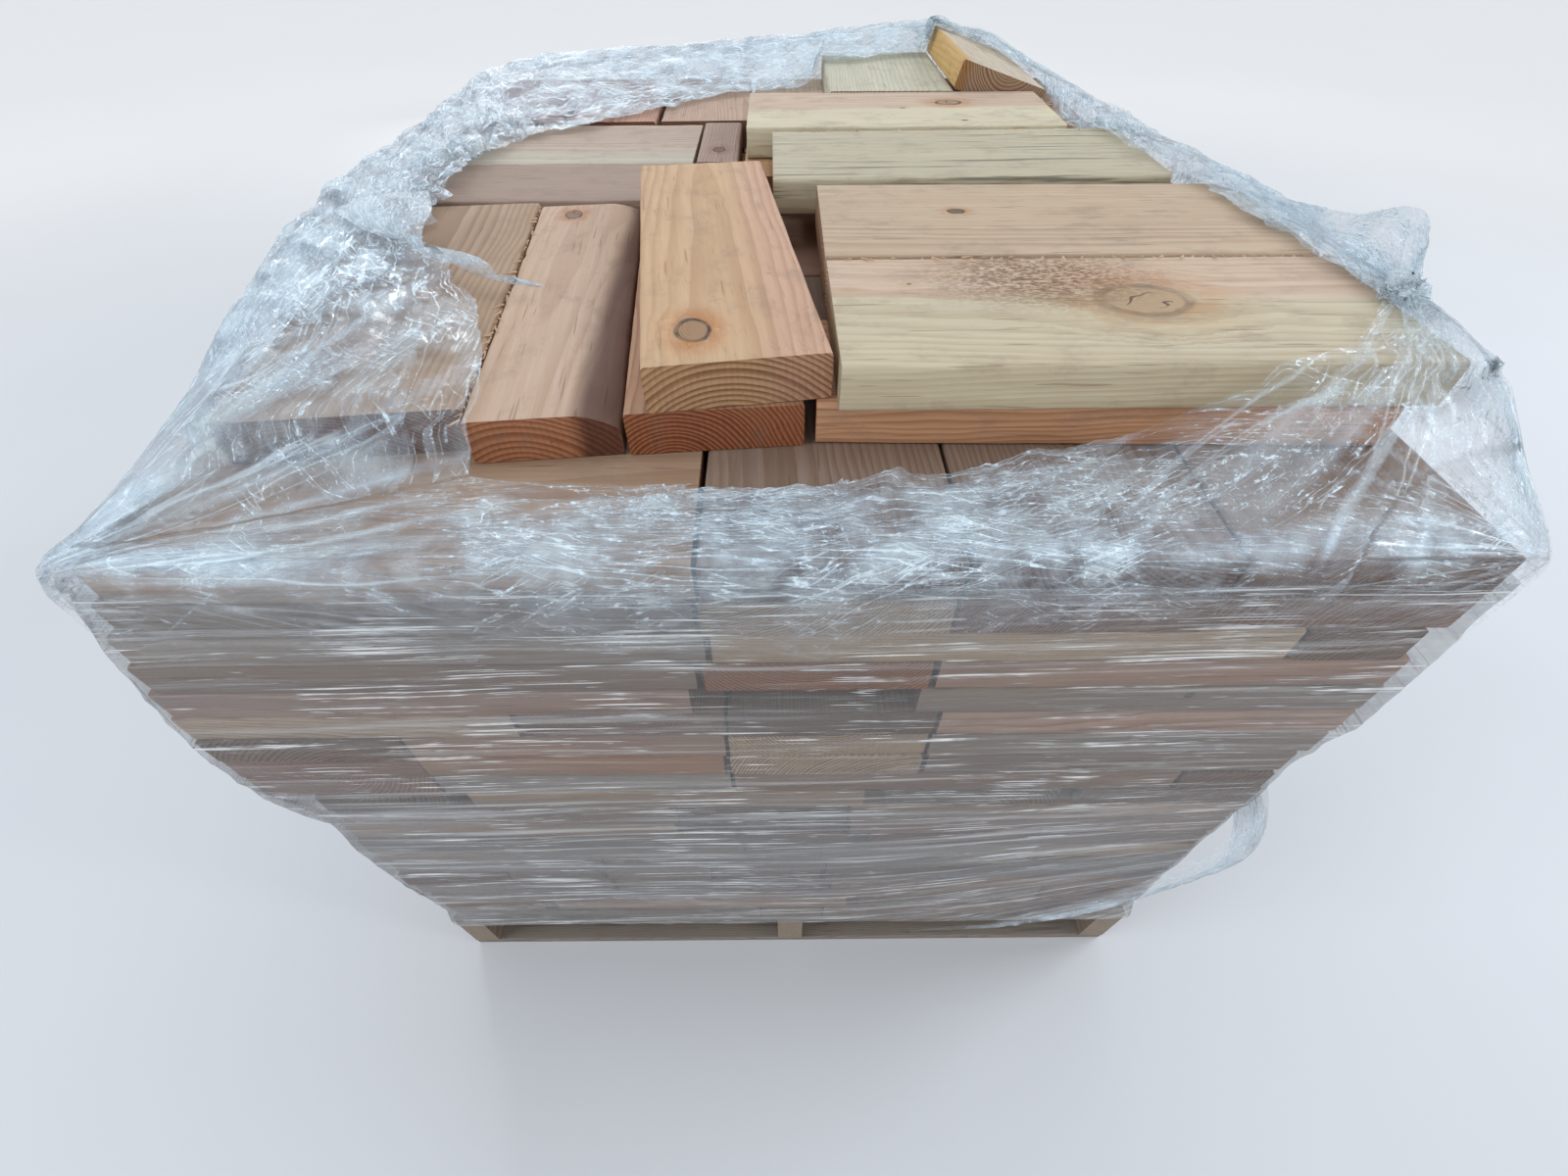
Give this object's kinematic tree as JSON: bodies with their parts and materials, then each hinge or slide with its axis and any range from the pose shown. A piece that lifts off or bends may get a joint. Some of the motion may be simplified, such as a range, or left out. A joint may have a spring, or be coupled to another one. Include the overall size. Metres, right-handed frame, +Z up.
{
  "type": "stretch wrapped pallet load of lumber blocks",
  "caption": "Pallet load of short sawn lumber blocks laid in courses on a notched stringer pallet and held by stretch film folded in over the top edge.",
  "frame": {"origin": "centre of the footprint on the ground", "axes": "+Z up, +X along the deck boards, +Y along the stringers, away from the front face"},
  "size_m": [1.12, 1.234, 1.004],
  "materials": {
    "sawn_lumber": "sawn softwood, mixed tan, pink and pale yellow, with knots",
    "pallet_wood": "rough weathered pallet wood",
    "stretch_film": "clear crumpled stretch film, glossy"
  },
  "bodies": {
    "root": {"bottom_deck": "pallet_wood", "course_01": "sawn_lumber", "course_02": "sawn_lumber", "course_03": "sawn_lumber", "course_04": "sawn_lumber", "course_05": "sawn_lumber", "course_06": "sawn_lumber", "course_07": "sawn_lumber", "course_08": "sawn_lumber", "course_09": "sawn_lumber", "course_10": "sawn_lumber", "course_11": "sawn_lumber", "course_12": "sawn_lumber", "course_13": "sawn_lumber", "course_14": "sawn_lumber", "course_15": "sawn_lumber", "course_16": "sawn_lumber", "course_17": "sawn_lumber", "course_18": "sawn_lumber", "course_19": "sawn_lumber", "course_20": "sawn_lumber", "leaning_block": "sawn_lumber", "loose_block_21_01": "sawn_lumber", "loose_block_21_02": "sawn_lumber", "loose_block_21_03": "sawn_lumber", "loose_block_21_04": "sawn_lumber", "loose_block_21_05": "sawn_lumber", "loose_block_21_06": "sawn_lumber", "loose_block_21_07": "sawn_lumber", "loose_block_21_08": "sawn_lumber", "loose_block_21_09": "sawn_lumber", "loose_block_21_10": "sawn_lumber", "loose_block_21_11": "sawn_lumber", "loose_block_21_12": "sawn_lumber", "loose_block_21_13": "sawn_lumber", "loose_block_21_14": "sawn_lumber", "loose_block_21_15": "sawn_lumber", "loose_block_21_16": "sawn_lumber", "loose_block_21_17": "sawn_lumber", "loose_block_21_18": "sawn_lumber", "loose_block_21_19": "sawn_lumber", "loose_block_22_01": "sawn_lumber", "loose_block_22_02": "sawn_lumber", "loose_block_22_03": "sawn_lumber", "loose_block_22_04": "sawn_lumber", "loose_block_22_05": "sawn_lumber", "loose_block_22_06": "sawn_lumber", "stretch_film": "stretch_film", "stringers": "pallet_wood", "top_deck": "pallet_wood"}
  },
  "joints": []
}
